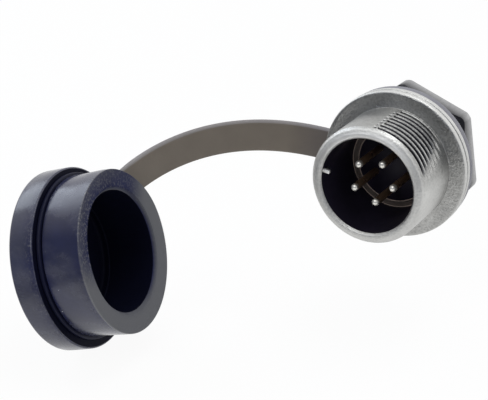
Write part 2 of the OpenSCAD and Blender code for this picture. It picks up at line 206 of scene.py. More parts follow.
# Details of the shell and the pins: millimetres, and degrees about the axis.
ON_SURFACE = 0.02  # a vertex this near a barrel's radius lies on it
EDGE_HIGHLIGHT = -0.38  # painted highlight on the edges of the mouth ring and the flange rim
MOUTH_BEVEL, MOUTH_RING = 0.28, 0.72
FIRST_GROOVE, FRONT_SPARE = 1.15, 1.7
GROOVE_FLOOR, GROOVE_HALF = 0.12, 0.39
GROOVE_ROWS = (-0.37, -0.30, -0.20, -0.10, 0.10, 0.20, 0.30, 0.37)
LAST_GROOVES = {0: 0.35, 1: 0.7}  # how deep the last two are, counted from the flange
RUN_OUT, RUN_OUT_SLANT = 8.0, 2.3  # where the grooves begin, and how much later each next one
SEAM_WAVE, SEAM_LIFT = 0.6, 0.06
RIM_GROOVE = 0.24
REAR_FIRST, REAR_SPARE, REAR_GROOVE, REAR_HALF = 0.9, 1.4, 0.42, 0.27
REAR_ROWS = (-0.28, -0.18, -0.05, 0.05, 0.18, 0.28)
SNAP_GROOVE, SNAP_DEPTH = (6.12, 6.72), 0.35
INSERT_REAR, INSERT_REAR_R = 4.4, 5.18
PIN_COLLAR, PIN_COLLAR_R, CUP_R, CUP_BORE, CUP_END = 3.9, 0.85, 0.8, 0.53, 9.7

# The nut's soft corners and the painted shade on its chamfer, and the strap's edges, with a painted sheen
# along the ribbon's upper edge.
NUT_CORNER, NUT_CHAMFER_SHADE = 0.62, 0.28
STRAP_FILLET, STRAP_STEPS, UPPER_EDGE_SHEEN = 0.34, 72, 0.45


# ---------------------------------------------------------------- modelling by hand

def in_mm(sizes, *names):
    return [getattr(sizes, name) / MM for name in names]


def clear_selection():
    if bpy.context.object and bpy.context.object.mode != "OBJECT":
        bpy.ops.object.mode_set(mode="OBJECT")
    bpy.ops.object.select_all(action="DESELECT")


def named(name):
    """The object that an operator has just made, under its own name."""
    piece = bpy.context.object
    piece.name = piece.data.name = name
    return piece


def pick(piece):
    clear_selection()
    piece.select_set(True)
    bpy.context.view_layer.objects.active = piece


def rounded(points, closed=False, steps=3):
    """Profile points (r, y, fillet radius) with each corner replaced by a small arc."""
    straight = PI / 2
    out = []
    for i, p in enumerate(points):
        here = Vector(p[:2])
        fillet = p[2] if len(p) > 2 else 0.0
        a, b = (Vector(points[j][:2]) - here for j in (i - 1, (i + 1) % len(points)))
        bent = fillet > 0.0 and (closed or 0 < i < len(points) - 1)
        half = a.angle(b) / 2 if bent else straight
        if half > straight - 0.02:
            out.append(tuple(here))
            continue
        reach = min(fillet / math.tan(half), a.length * 0.49, b.length * 0.49)
        r = reach * math.tan(half)
        centre = here + (a.normalized() + b.normalized()).normalized() * (r / math.sin(half))
        start = here + a.normalized() * reach - centre
        end = here + b.normalized() * reach - centre
        span = start.angle(end)
        side = 1.0 if start.x * end.y - start.y * end.x > 0 else -1.0
        for k in range(steps + 1):
            t = side * span * k / steps
            out.append((centre.x + start.x * math.cos(t) - start.y * math.sin(t),
                        centre.y + start.x * math.sin(t) + start.y * math.cos(t)))
    return out


def draw_profile(name, points, closed):
    """A chain of vertices in the XY plane, extruded point by point in millimetres."""
    clear_selection()
    bpy.ops.mesh.primitive_plane_add(size=MM, location=(0, 0, 0))
    piece = named(name)
    bpy.ops.object.mode_set(mode="EDIT")
    bpy.ops.mesh.select_mode(type="VERT")
    bpy.ops.mesh.select_all(action="SELECT")
    bpy.ops.mesh.merge(type="CENTER")
    bpy.ops.transform.translate(value=(points[0][0] * MM, points[0][1] * MM, 0))
    for a, b in zip(points, points[1:]):
        bpy.ops.mesh.extrude_vertices_move(TRANSFORM_OT_translate={
            "value": ((b[0] - a[0]) * MM, (b[1] - a[1]) * MM, 0)})
    if closed:
        bpy.ops.mesh.select_all(action="DESELECT")
        bpy.ops.object.mode_set(mode="OBJECT")
        verts = piece.data.vertices
        for v in (verts[0], verts[len(verts) - 1]):
            v.select = True
        bpy.ops.object.mode_set(mode="EDIT")
        bpy.ops.mesh.select_mode(type="VERT")
        bpy.ops.mesh.edge_face_add()
    return piece


def turned(name, points, steps, closed=True, smooth=32):
    """A profile (radius, y) spun about the Y axis."""
    piece = draw_profile(name, points, closed)
    bpy.ops.mesh.select_all(action="SELECT")
    bpy.ops.mesh.spin(steps=steps, angle=2 * PI, center=(0, 0, 0), axis=(0, 1, 0), use_auto_merge=True)
    bpy.ops.mesh.select_all(action="SELECT")
    bpy.ops.mesh.remove_doubles(threshold=0.000002)
    bpy.ops.mesh.normals_make_consistent(inside=False)
    bpy.ops.object.mode_set(mode="OBJECT")
    shade(piece, smooth)
    return piece


def shade(piece, degrees):
    pick(piece)
    bpy.ops.object.shade_smooth_by_angle(angle=math.radians(degrees))


def cut_with(piece, tool, operation="DIFFERENCE"):
    """Cuts a piece with another one, which is used up."""
    pick(piece)
    bpy.ops.object.modifier_add(type="BOOLEAN")
    cut = piece.modifiers[-1]
    cut.object, cut.operation, cut.solver = tool, operation, "EXACT"
    bpy.ops.object.modifier_apply(modifier=cut.name)
    bpy.data.objects.remove(tool)


def block(name, centre, sides, bevel=0.0):
    """A box in millimetres, its edges softened where a bevel is given."""
    clear_selection()
    bpy.ops.mesh.primitive_cube_add(size=1, location=[c * MM for c in centre])
    piece = named(name)
    piece.scale = [s * MM for s in sides]
    bpy.ops.object.transform_apply(location=True, rotation=True, scale=True)
    if bevel:
        bpy.ops.object.mode_set(mode="EDIT")
        bpy.ops.mesh.select_all(action="SELECT")
        bpy.ops.mesh.bevel(offset=bevel * MM, segments=2, affect="EDGES")
        bpy.ops.object.mode_set(mode="OBJECT")
    return piece


def place(piece, matrix):
    """Turns a finished piece and leaves the turn in its mesh."""
    pick(piece)
    piece.matrix_world = matrix
    bpy.ops.object.transform_apply(location=True, rotation=True, scale=True)


def join(pieces):
    """Joins the pieces into the first one."""
    clear_selection()
    for p in pieces:
        p.select_set(True)
    bpy.context.view_layer.objects.active = pieces[0]
    bpy.ops.object.join()
    return pieces[0]


def write_layer(piece, layer, values):
    piece.data.attributes.new(layer, "FLOAT", "POINT").data.foreach_set("value", values)


def paint(piece, layer, value_at):
    """A named value on every vertex, from its place (x, y, z) in millimetres."""
    write_layer(piece, layer, [value_at(*(v.co / MM)) for v in piece.data.vertices])


def about_axis(degrees):
    """A turn about the coupling axis that takes +X towards +Z."""
    return Matrix.Rotation(-math.radians(degrees), 4, "Y")


def soft_step(a, b, x):
    """From 0 at a to 1 at b, without a kink."""
    t = max(0.0, min(1.0, (x - a) / (b - a)))
    return t * t * (3 - 2 * t)


# ---------------------------------------------------------------- node groups

def wire(tree, value, socket):
    """Links a socket to an input, or sets a number, a vector or a colour on it."""
    if isinstance(value, bpy.types.NodeSocket):
        tree.links.new(value, socket)
    else:
        socket.default_value = (*value, 1.0) if socket.type == "RGBA" else value


def add(tree, kind, inputs=(), **values):
    """A shader node with its own values set, and its inputs fed by name or number."""
    node = tree.nodes.new("ShaderNode" + kind)
    for key, value in values.items():
        setattr(node, key, value)
    for key, value in dict(inputs).items():
        wire(tree, value, node.inputs[key])
    return node


def math_node(tree, operation, a, b, clamp=False):
    return add(tree, "Math", {0: a, 1: b}, operation=operation, use_clamp=clamp).outputs[0]


def spread(tree, value, low, high, out_low=0.0, out_high=1.0):
    """The range from low to high stretched over another, and held at its ends."""
    inputs = dict(enumerate((value, low, high, out_low, out_high)))
    return add(tree, "MapRange", inputs, clamp=True).outputs[0]


def blend_colour(tree, share, a, b):
    return add(tree, "Mix", {0: share, 6: a, 7: b}, data_type="RGBA").outputs[2]


def noise_of(tree, vector, scale, detail, rough=0.5):
    inputs = {"Vector": vector, "Scale": scale, "Detail": detail, "Roughness": rough}
    return add(tree, "TexNoise", inputs).outputs["Fac"]


def stretched(tree, vector, rotation, scale):
    return add(tree, "Mapping", {"Vector": vector, "Rotation": rotation, "Scale": scale}).outputs[0]


def layer_of(tree, name):
    """The mesh's painted layer of that name."""
    return add(tree, "Attribute", attribute_name=name).outputs["Fac"]


def new_group(name, inputs, outputs):
    """An effect that materials share, with its named numbers and the masks that it puts out."""
    tree = bpy.data.node_groups.new(name, "ShaderNodeTree")
    socket = tree.interface.new_socket
    socket(name="Vector", in_out="INPUT", socket_type="NodeSocketVector")
    for label, value in inputs.items():
        socket(name=label, in_out="INPUT", socket_type="NodeSocketFloat").default_value = value
    for label in outputs:
        socket(name=label, in_out="OUTPUT", socket_type="NodeSocketFloat")
    return tree, tree.nodes.new("NodeGroupInput").outputs, tree.nodes.new("NodeGroupOutput").inputs


def make_mottle():
    """Slow cloudy change over the surface, with a finer grain beside it."""
    g, given, out = new_group("mottle", {"Coarse": 300.0, "Fine": 2500.0}, ("Mask", "Grain"))
    clouds = noise_of(g, given["Vector"], given["Coarse"], 3.0)
    grains = noise_of(g, given["Vector"], given["Fine"], 2.0, 0.6)
    wire(g, spread(g, clouds, 0.32, 0.68), out["Mask"])
    wire(g, spread(g, grains, 0.25, 0.75), out["Grain"])


def make_specks():
    """Small isolated spots of dust, in a share of the pattern's cells."""
    g, given, out = new_group("specks", {"Scale": 900.0, "Size": 0.12, "Share": 0.15}, ("Mask",))
    cells = add(g, "TexVoronoi", {"Vector": given["Vector"], "Scale": given["Scale"]})
    near = math_node(g, "LESS_THAN", cells.outputs["Distance"], given["Size"])
    tone = add(g, "SeparateColor", {0: cells.outputs["Color"]})
    some = math_node(g, "LESS_THAN", tone.outputs[0], given["Share"])
    wire(g, math_node(g, "MULTIPLY", near, some), out["Mask"])


def make_scuffs():
    """Fine hair scratches that run mostly two ways."""
    g, given, out = new_group("scuffs", {"Scale": 120.0}, ("Mask",))
    masks = []
    for angle, stretch in ((0.4, (1.0, 26.0, 9.0)), (2.1, (14.0, 1.0, 22.0))):
        hairs = stretched(g, given["Vector"], (0.3, angle, angle), stretch)
        masks.append(spread(g, noise_of(g, hairs, given["Scale"], 2.0), 0.66, 0.74))
    wire(g, math_node(g, "MAXIMUM", *masks), out["Mask"])


def effect(tree, name, vector, **values):
    group = bpy.data.node_groups[name]
    return add(tree, "Group", {"Vector": vector, **values}, node_tree=group).outputs


# ---------------------------------------------------------------- materials

def new_material(name, metallic=0.0, ior=1.5, gloss=0.5):
    """A material: itself, its tree, its shader and the object's coordinates."""
    mat = bpy.data.materials.new(name)
    mat.use_nodes = True
    t = mat.node_tree
    t.nodes.clear()
    shader = add(t, "BsdfPrincipled", {"Metallic": metallic, "IOR": ior, "Specular IOR Level": gloss})
    add(t, "OutputMaterial", {"Surface": shader.outputs[0]})
    return mat, t, shader, add(t, "TexCoord").outputs["Object"]


def bump_into(tree, shader, height, distance, strength=0.8):
    """Height as a bump, its distance in millimetres."""
    bump = add(tree, "Bump", {"Strength": strength, "Distance": distance * MM, "Height": height})
    wire(tree, bump.outputs[0], shader.inputs["Normal"])


def toned(colour, share):
    return tuple(min(1.0, c * share) for c in colour)


def plated_metal(name, colour, rough, grain, low=0.70, shade_and_highlight=False, fine=5200.0):
    """Satin plate over a fine blasted casting, with darker clouds and hair scratches.

    With that flag, the mesh's layer of the same name paints shade on the plate above zero and a highlight
    below zero."""
    mat, t, shader, co = new_material(name, metallic=1.0)
    mottle = effect(t, "mottle", co, Coarse=260.0, Fine=fine)
    scuffs = effect(t, "scuffs", co, Scale=150.0)["Mask"]
    base = blend_colour(t, mottle["Mask"], toned(colour, 0.88), colour)
    base = blend_colour(t, spread(t, mottle["Grain"], 0.10, 0.62, 0.75, 0.0), base, toned(colour, low))
    crumbs = noise_of(t, co, fine * 0.45, 4.0, 0.75)
    base = blend_colour(t, spread(t, crumbs, 0.58, 0.74, 0.0, 0.6), base, toned(colour, 1.3))
    r = spread(t, mottle["Mask"], 0.0, 1.0, rough + 0.08, rough - 0.04)
    r = math_node(t, "ADD", r, math_node(t, "MULTIPLY", mottle["Grain"], 0.06))
    r = math_node(t, "SUBTRACT", r, math_node(t, "MULTIPLY", scuffs, 0.07), clamp=True)
    if shade_and_highlight:
        depth = layer_of(t, "shade_and_highlight")
        # painted shade where the layer is above zero, painted highlight where it is below
        base = blend_colour(t, spread(t, depth, 0.04, 0.30, 0.0, 0.97), base, PAINTED_SHADE)
        base = blend_colour(t, spread(t, depth, -1.0, -0.1, 1.0, 0.0), base, PAINTED_HIGHLIGHT)
        r = math_node(t, "ADD", r, spread(t, depth, -0.40, -0.05, 0.16, 0.0))
    wire(t, base, shader.inputs["Base Color"])
    wire(t, r, shader.inputs["Roughness"])
    scratched = math_node(t, "MULTIPLY", scuffs, -0.5)
    bump_into(t, shader, math_node(t, "ADD", mottle["Grain"], scratched), grain)
    return mat


def moulded(name, colour, rough, grain, pale, dust=0.0, fine=3200.0, gloss=0.5, ior=1.5,
            rubbed=None, tones=(), film=0.0):
    """Moulded plastic or rubber with cloudy tone, fine pits and a little dust.

    rubbed is a colour that shows as crumbs where the mesh's layer of that name is above zero,
    tones are pairs of a layer and the colour that it blends to, and film is the share of smears."""
    mat, t, shader, co = new_material(name, ior=ior, gloss=gloss)
    mottle = effect(t, "mottle", co, Coarse=220.0, Fine=fine)
    light = toned(colour, pale)
    base = blend_colour(t, mottle["Mask"], colour, light)
    base = blend_colour(t, spread(t, mottle["Grain"], 0.55, 1.0, 0.0, 0.35), base, light)
    r = spread(t, mottle["Mask"], 0.0, 1.0, rough + 0.06, rough - 0.04)
    height = mottle["Grain"]
    for layer, tone in tones:
        base = blend_colour(t, layer_of(t, layer), base, tone)
    if film:
        wiped = stretched(t, co, (0.3, 0.5, 0.2), (1.0, 0.55, 1.7))
        smears = spread(t, noise_of(t, wiped, 190.0, 5.0, 0.62), 0.47, 0.66)
        base = blend_colour(t, math_node(t, "MULTIPLY", smears, film), base, SMEAR)
        r = math_node(t, "ADD", r, math_node(t, "MULTIPLY", smears, 0.14))
    if rubbed:
        crumbs = spread(t, noise_of(t, co, 2900.0, 4.0, 0.7), 0.50, 0.66)
        patch = math_node(t, "MULTIPLY", layer_of(t, "rubbed"), crumbs)
        base = blend_colour(t, patch, base, rubbed)
        r = math_node(t, "ADD", r, math_node(t, "MULTIPLY", patch, 0.16))
        height = math_node(t, "ADD", height, math_node(t, "MULTIPLY", patch, 2.0))
    if dust:
        specks = effect(t, "specks", co, Scale=1150.0, Size=0.10, Share=dust)["Mask"]
        base = blend_colour(t, specks, base, DUST)
    wire(t, base, shader.inputs["Base Color"])
    r = math_node(t, "ADD", r, math_node(t, "MULTIPLY", mottle["Grain"], 0.07), clamp=True)
    wire(t, r, shader.inputs["Roughness"])
    bump_into(t, shader, height, grain)
    return mat


def coat(piece, *mats):
    piece.data.materials.clear()
    for mat in mats:
        piece.data.materials.append(mat)


def dress(piece, mat, body, replaces):
    coat(piece, mat)
    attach(piece, body)
    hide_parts(*replaces)


# ---------------------------------------------------------------- operators

def aimed(name, data, at, target):
    """Puts a lamp or the camera in the scene, turned towards a point."""
    thing = bpy.data.objects.new(name, data)
    bpy.context.scene.collection.objects.link(thing)
    thing.location = at
    thing.rotation_euler = (Vector(target) - Vector(at)).to_track_quat("-Z", "Y").to_euler()
    return thing


def seen_as(tree, path, lit, shown, share=1.0):
    """One shader lights the object, and a share of another is what camera, mirror and glass see."""
    seen = path.outputs["Is Camera Ray"]
    for ray in ("Is Glossy Ray", "Is Transmission Ray"):
        seen = math_node(tree, "MAXIMUM", seen, path.outputs[ray])
    inputs = {0: math_node(tree, "MULTIPLY", seen, share), 1: lit.outputs[0], 2: shown.outputs[0]}
    return add(tree, "MixShader", inputs).outputs[0]


class RC_OT_stage(bpy.types.Operator):
    """Floor, world, lamps and camera"""
    bl_idname = "receptacle.stage"
    bl_label = "Stage"

    def execute(self, context):
        scene = context.scene
        scene.view_settings.view_transform = "Standard"
        self.paper_floor()
        self.light_room(scene)
        for name, at, sides, watts, colour in LAMPS:
            lamp = bpy.data.lights.new(name, "AREA")
            lamp.shape = "RECTANGLE"
            lamp.size, lamp.size_y = sides
            lamp.energy = watts
            lamp.color = colour
            aimed(name, lamp, at, LAMP_AIM)
        cam = bpy.data.cameras.new("view_camera")
        cam.lens, cam.sensor_width, cam.clip_start = LENS, SENSOR, NEAREST
        scene.camera = aimed("view_camera", cam, CAMERA_AT, CAMERA_AIM)
        return {"FINISHED"}

    def paper_floor(self):
        """White paper that keeps the shadow, and reads darker in metal towards its front edge."""
        clear_selection()
        bpy.ops.mesh.primitive_plane_add(size=FLOOR_SIDE, location=(0, 0, 0))
        floor = named("studio_floor")
        place(floor, Matrix.Translation((0, 0, CAD_BOX[0][2] - FLOOR_GAP)))
        mat, t, paper, co = new_material("studio_floor_paper")
        surface = paper.outputs[0].links[0].to_socket
        wire(t, PAPER, paper.inputs["Base Color"])
        wire(t, PAPER_ROUGH, paper.inputs["Roughness"])
        bump_into(t, paper, effect(t, "mottle", co, Coarse=4.0, Fine=900.0)["Grain"], 0.02, 0.4)
        across, along = add(t, "SeparateXYZ", {0: co}).outputs[:2]
        step = spread(t, across, *DIM_EDGE_STEP, DIM_EDGE_SHIFT, 0.0)
        bright = spread(t, math_node(t, "SUBTRACT", along, step), *DIM_EDGE, DIM_EDGE_LEVEL, 1.0)
        path = add(t, "LightPath")
        dim = math_node(t, "MULTIPLY", path.outputs["Is Glossy Ray"], math_node(t, "SUBTRACT", 1.0, bright))
        glow = add(t, "Emission", {"Strength": math_node(t, "SUBTRACT", 1.0, dim)})
        wire(t, seen_as(t, path, paper, glow, FLOOR_SHARE), surface)
        coat(floor, mat)

    def light_room(self, scene):
        """White behind the object and a dim room in front of it, for soft even light."""
        world = bpy.data.worlds.new("studio_world")
        scene.world = world
        world.use_nodes = True
        w = world.node_tree
        w.nodes.clear()
        sky = add(w, "Background", {0: SKY, 1: SKY_STRENGTH})
        way = add(w, "SeparateXYZ", {0: add(w, "TexCoord").outputs["Generated"]})
        ahead = spread(w, way.outputs[1], *ROOM_AHEAD, 1.0, 0.0)
        below = spread(w, way.outputs[2], *ROOM_BELOW, 1.0, 0.0)
        path = add(w, "LightPath")
        room = math_node(w, "MULTIPLY", ahead, below)
        dim = math_node(w, "MULTIPLY", room, path.outputs["Is Glossy Ray"])
        white = add(w, "Background", {0: blend_colour(w, dim, WHITE, DIM_ROOM), 1: 1.0})
        add(w, "OutputWorld", {"Surface": seen_as(w, path, sky, white)})


class RC_OT_effects(bpy.types.Operator):
    """Shared surface effects"""
    bl_idname = "receptacle.effects"
    bl_label = "Surface effects"

    def execute(self, context):
        make_mottle()
        make_specks()
        make_scuffs()
        return {"FINISHED"}


class RC_OT_shell(bpy.types.Operator):
    """Cast shell with its interrupted thread, flange, rear thread and key"""
    bl_idname = "receptacle.shell"
    bl_label = "Shell"

    def execute(self, context):
        s = context.scene.rc_shell
        c = context.scene.rc_contact
        mouth = -(s.barrel + s.flange_t) / MM
        tr, br, fr, ft, rr, rl, rb = in_mm(
            s, "thread_r", "bore_r", "flange_r", "flange_t", "rear_r", "rear_len", "rear_bore_r")
        pitch, barrel, cavity = s.pitch / MM, s.barrel / MM, c.cavity / MM
        shoulder = mouth + cavity + 1.4
        front = [mouth + FIRST_GROOVE + k * pitch for k in range(int((barrel - FRONT_SPARE) / pitch) + 1)]
        rear = [REAR_FIRST + k * pitch for k in range(int((rl - REAR_SPARE) / pitch) + 1)]
        points = [(br + MOUTH_BEVEL, mouth, 0.10), (tr - 0.84, mouth, 0.40),
                  (tr - 0.30, mouth + 0.26, 0.40), (tr, mouth + MOUTH_RING, 0.30)]
        points += [(tr, y + d) for y in front for d in GROOVE_ROWS]
        rim, mid = fr - RIM_GROOVE, -ft / 2
        points += [(tr, -ft - 0.25), (tr, -ft, 0.06), (fr - 0.5, -ft), (fr, -ft, 0.30),
                   (fr, mid - 0.16, 0.03), (rim, mid - 0.06, 0.03), (rim, mid + 0.06, 0.03),
                   (fr, mid + 0.16, 0.03), (fr, 0, 0.22), (rr - 0.3, 0), (rr - 0.3, 0.45)]
        points += [(rr, y + d) for y in rear for d in REAR_ROWS]
        snap_front, snap_back = SNAP_GROOVE
        points += [(rr, rl - 0.5), (rr - 0.5, rl, 0.08), (rb, rl, 0.12), (rb, snap_back),
                   (rb + SNAP_DEPTH, snap_back), (rb + SNAP_DEPTH, snap_front), (rb, snap_front),
                   (rb, shoulder), (br, shoulder), (br, mouth + MOUTH_BEVEL, 0.04)]
        shell = turned("cast_shell", rounded(points, closed=True), steps=360, smooth=40)
        write_layer(shell, "shade_and_highlight", [self.cut_threads(v, s, front, rear, mouth) for v in shell.data.vertices])
        key = block("polarising_key", (br - 0.43, mouth + 0.75, 0), (1.05, 0.5, 0.5), 0.10)
        place(key, about_axis(math.degrees(c.key)))
        # painted highlight on the polarising key
        paint(key, "shade_and_highlight", lambda x, y, z: -1.0)
        join([shell, key])
        shade(shell, 34)
        mat = plated_metal("satin_nickel_casting", tuple(context.scene.rc_finish.nickel), 0.32, 0.04,
                           low=0.62, shade_and_highlight=True, fine=3300.0)
        dress(shell, mat, "receptacle", ("shell",))
        return {"FINISHED"}

    def cut_threads(self, v, s, front, rear, mouth):
        """Sinks the grooves at one vertex; returns its painted shade, which is a painted highlight where it
        is below zero.
        """
        x, y, z = v.co / MM
        r = new = math.hypot(x, z)
        tr, br, fr, ft, rr = in_mm(s, "thread_r", "bore_r", "flange_r", "flange_t", "rear_r")
        shade_and_highlight = 0.0
        # painted highlight on the mouth ring and the flange rim, stronger towards the top of the ring's inner
        # part
        if y < mouth + MOUTH_RING and r > br + 0.05 or (-ft - 0.05 < y < 0.05 and r > fr - 0.12):
            shade_and_highlight = EDGE_HIGHLIGHT
            if r < tr - 0.6:
                shade_and_highlight -= 0.45 * soft_step(15, 60, math.degrees(math.atan2(z, abs(x))))
        if y < -ft - 0.1 and abs(r - tr) < ON_SURFACE:
            new, shade_and_highlight = self.front_groove(x, y, z, r, s, front, mouth)
        elif y > 0.4 and abs(r - rr) < ON_SURFACE:
            nearest = min(abs(y - g) for g in rear)
            # painted shade in the grooves of the rear thread
            shade_and_highlight = 1 - soft_step(0.03, REAR_HALF, nearest)
            new = r - REAR_GROOVE * shade_and_highlight
        elif fr - 0.26 < r < fr - 0.1 and abs(y + ft / 2) < 0.2:
            # painted shade: a thin dark line in the flange rim's groove
            shade_and_highlight = 0.2
        v.co.x *= new / r
        v.co.z *= new / r
        x, y, z = v.co / MM
        if y > 0.5 and z > 0 and abs(x) < s.keyway_w / MM / 2 and math.hypot(x, z) > 6.0:
            v.co.z = s.rear_r - s.keyway_d
        return shade_and_highlight

    @staticmethod
    def front_groove(x, y, z, r, s, front, mouth):
        """Two banks of grooves: each runs out at its lower end, and stops at the mould seam above."""
        around = math.degrees(math.atan2(z, x))
        a, seam, groove = around % 180.0, math.degrees(s.seam), s.groove / MM
        wavy = a + SEAM_WAVE * math.sin(y * 2.3)
        nearest = min(range(len(front)), key=lambda k: abs(y - front[k]))
        run_out = RUN_OUT + RUN_OUT_SLANT * nearest
        depth = soft_step(run_out, run_out + 25.0, a) * (1 - soft_step(seam - 1.6, seam - 0.6, wavy))
        past_seam = soft_step(seam + 0.6, seam + 1.4, wavy) * (1 - soft_step(seam + 1.6, seam + 4.5, a))
        depth += 0.4 * past_seam
        weak = LAST_GROOVES.get(len(front) - 1 - nearest, 1.0)
        drop = weak * groove * (1 - soft_step(GROOVE_FLOOR, GROOVE_HALF, abs(y - front[nearest])))
        # painted shade in each groove, as deep as it is cut
        shade_and_highlight = drop * depth / groove * soft_step(run_out, run_out + 27.0, a)
        # painted highlight on the lower right of the barrel, where no groove is cut
        if drop * depth < 0.02:
            shade_and_highlight -= 0.42 * soft_step(-75, -40, around) * (1 - soft_step(-2, 22, around))
        lift = SEAM_LIFT * (1 - soft_step(0.5, 1.5, abs(wavy - seam))) if y >= mouth + 0.9 else 0.0
        return r - drop * depth + lift, shade_and_highlight


class RC_OT_insert(bpy.types.Operator):
    """Moulded insert with its sleeve, contact face and seals"""
    bl_idname = "receptacle.insert"
    bl_label = "Insert and seals"

    def execute(self, context):
        s = context.scene.rc_shell
        c = context.scene.rc_contact
        f = context.scene.rc_finish
        mouth = -(s.barrel + s.flange_t) / MM
        floor = mouth + c.cavity / MM
        face = floor - c.face_h / MM
        out = s.bore_r / MM - 0.02
        sleeve = out - 0.4
        fr = c.face_r / MM
        shoulder = floor + 0.9
        points = [(0, face), (fr, face, 0.10), (fr, floor, 0.05), (sleeve, floor, 0.12),
                  (sleeve, mouth + 3.0), (out - 0.02, mouth + 0.3), (out, mouth + 0.3), (out, shoulder),
                  (INSERT_REAR_R, shoulder), (INSERT_REAR_R, INSERT_REAR), (0, INSERT_REAR)]
        insert = turned("contact_block", rounded(points), steps=144, closed=False, smooth=34)
        slot = block("key_slot", (sleeve, mouth + 1.2, 0), (1.4, 1.9, 0.62))
        place(slot, about_axis(math.degrees(c.key)))
        cut_with(insert, slot)
        shade(insert, 34)
        mat = moulded("black_insert_plastic", tuple(f.insert), 0.32, 0.006, 1.6, fine=2600.0, gloss=0.15)
        dress(insert, mat, "receptacle", ("contact_insert",))

        top = floor - 0.35
        mid = (sleeve + fr) / 2
        points = [(sleeve - 0.02, floor), (sleeve - 0.02, top, 0.07), (sleeve - 0.2, top, 0.07),
                  (sleeve - 0.3, top + 0.2, 0.05), (mid, top + 0.15), (fr + 0.34, top + 0.2, 0.05),
                  (fr + 0.24, top, 0.07), (fr + 0.06, top, 0.07), (fr + 0.06, floor)]
        seal = turned("cavity_seal", rounded(points, closed=True, steps=4), steps=120, smooth=50)
        # painted shade in the seal's shallow channel
        paint(seal, "channel_shade", lambda x, y, z: 0.0 if abs(math.hypot(x, z) - mid) > 0.35 else 1.0)
        mat = moulded("brown_seal_rubber", tuple(f.seal), 0.34, 0.006, 1.3,
                      tones=(("channel_shade", toned(f.seal, 0.22)),))
        dress(seal, mat, "receptacle", ("face_seal",))
        return {"FINISHED"}


class RC_OT_pins(bpy.types.Operator):
    """Five turned contact pins with solder cups"""
    bl_idname = "receptacle.pins"
    bl_label = "Contact pins"

    def execute(self, context):
        s = context.scene.rc_shell
        c = context.scene.rc_contact
        tip = -(s.barrel + s.flange_t) / MM + c.recess / MM
        r = c.pin_r / MM
        points = [(0, tip)]
        for a in map(math.radians, range(10, 91, 10)):
            points.append((r * (0.12 + 0.88 * math.sin(a)), tip + r * 0.85 * (1 - math.cos(a))))
        points += [(r, PIN_COLLAR), (PIN_COLLAR_R, PIN_COLLAR),
                   (PIN_COLLAR_R, INSERT_REAR), (CUP_R, INSERT_REAR)]
        points += rounded([(CUP_R, INSERT_REAR + 0.1), (CUP_R, CUP_END, 0.12), (CUP_BORE, CUP_END, 0.06),
                           (CUP_BORE, CUP_END - 2.2), (0, CUP_END - 2.45)])
        pin = turned("pin_master", points, steps=40, closed=False, smooth=40)
        cut_with(pin, block("cup_opening", (1.2, CUP_END - 0.2, 0), (2.1, 3.9, 4)))
        shade(pin, 40)
        mat = self.plate(context.scene.rc_finish, tip)
        for i in range(5):
            node = "pin_%d" % (i + 1)
            copy = pin.copy()
            copy.data = pin.data.copy()
            copy.name = copy.data.name = "turned_" + node
            context.scene.collection.objects.link(copy)
            around = about_axis(math.degrees(c.first) - 72 * i)
            place(copy, around @ Matrix.Translation((c.circle_r, 0, 0)))
            dress(copy, mat, "receptacle", (node,))
        bpy.data.objects.remove(pin)
        return {"FINISHED"}

    @staticmethod
    def plate(f, tip):
        """Bright at the tip and gold along the shaft, with an uneven edge between the two."""
        mat, t, shader, co = new_material("plated_contact", metallic=0.75)
        mottle = effect(t, "mottle", co, Coarse=900.0, Fine=7000.0)
        along = add(t, "SeparateXYZ", {0: co}).outputs[1]
        edge = math_node(t, "ADD", along, math_node(t, "MULTIPLY", mottle["Mask"], 0.0003))
        gold = spread(t, edge, (tip + 0.40) * MM, (tip + 0.95) * MM)
        colour = blend_colour(t, gold, tuple(f.pin_tip), tuple(f.pin_shaft))
        dull = spread(t, mottle["Grain"], 0.0, 0.4, 0.35, 0.0)
        wire(t, blend_colour(t, dull, colour, TARNISH), shader.inputs["Base Color"])
        wire(t, spread(t, mottle["Mask"], 0.0, 1.0, 0.36, 0.26), shader.inputs["Roughness"])
        bump_into(t, shader, mottle["Grain"], 0.004, 0.6)
        return mat


